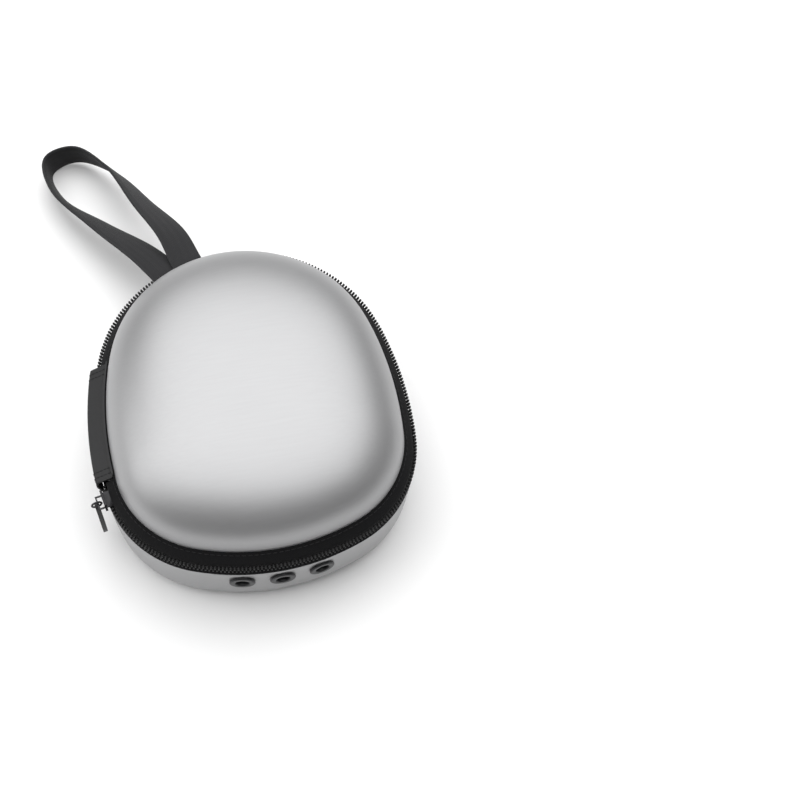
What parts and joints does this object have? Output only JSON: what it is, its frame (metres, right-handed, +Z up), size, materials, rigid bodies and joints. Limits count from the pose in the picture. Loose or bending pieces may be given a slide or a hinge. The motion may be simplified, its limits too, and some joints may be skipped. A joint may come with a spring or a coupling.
{
  "type": "headphone carrying case",
  "caption": "Hard zip-up carrying case for headphones: moulded base and domed lid on a fabric spine, vent eyelets, and a webbing hand loop.",
  "frame": {"origin": "middle of the base's flat underside, on the ground", "axes": "+Z up, +Y towards the hand loop's end, -Y towards the eyelets, -X towards the fabric spine"},
  "size_m": [0.1845, 0.3147, 0.09],
  "materials": {
    "silver_cloth": "fine silver-grey woven cloth, slightly shiny",
    "foam": "matte moulded foam",
    "lining": "brushed knit lining",
    "black_tape": "woven tape",
    "zip_teeth": "coiled nylon",
    "spine_cloth": "stitched cloth",
    "black_metal": "black painted metal",
    "pull_rubber": "soft moulded rubber",
    "webbing": "flat woven webbing",
    "net": "stretch net"
  },
  "bodies": {
    "base": {"lower_skin": "silver_cloth", "lower_shell": "foam", "lower_lining": "lining", "lower_binding": "black_tape", "lower_zip_tape": "black_tape", "lower_zip_teeth": "zip_teeth", "spine_base_cloth": "spine_cloth", "spine_base_cover": "lining", "eyelet_1": "black_metal", "eyelet_2": "black_metal", "eyelet_3": "black_metal", "eyelet_washer_1": "black_metal", "eyelet_washer_2": "black_metal", "eyelet_washer_3": "black_metal", "loop_root": "webbing"},
    "lid": {"upper_skin": "silver_cloth", "upper_shell": "foam", "upper_lining": "lining", "upper_binding": "black_tape", "upper_zip_tape": "black_tape", "upper_zip_teeth": "zip_teeth", "spine_lid_cloth": "spine_cloth", "spine_lid_cover": "lining", "net_pocket": "net", "pocket_hem": "black_tape"},
    "slider": {"zip_slider": "black_metal"},
    "link": {"pull_link": "black_metal"},
    "tab": {"pull_tab": "pull_rubber"},
    "loop": {"hand_loop": "webbing"}
  },
  "joints": [
    {"name": "lid_hinge", "type": "hinge", "parent": "base", "child": "lid", "pos_m": [-0.0892, 0, 0.048], "axis": [0, -1, 0], "range_deg": [0, 180]},
    {"name": "slider_run", "type": "hinge", "parent": "base", "child": "slider", "pos_m": [-0.02306, -0.0317, 0.048], "axis": [0, 0, 1], "range_deg": [0, 50]},
    {"name": "link_swing", "type": "hinge", "parent": "slider", "child": "link", "pos_m": [-0.08858, -0.04416, 0.047], "axis": [-0.1868, 0.9824, 0], "range_deg": [0, 110]},
    {"name": "tab_swing", "type": "hinge", "parent": "link", "child": "tab", "pos_m": [-0.08917, -0.04427, 0.0461], "axis": [-0.1868, 0.9824, 0], "range_deg": [0, 60]},
    {"name": "loop_swing", "type": "hinge", "parent": "base", "child": "loop", "pos_m": [-0.02745, 0.09571, 0.0388], "axis": [0.9455, 0.3256, 0], "range_deg": [0, 75]}
  ]
}
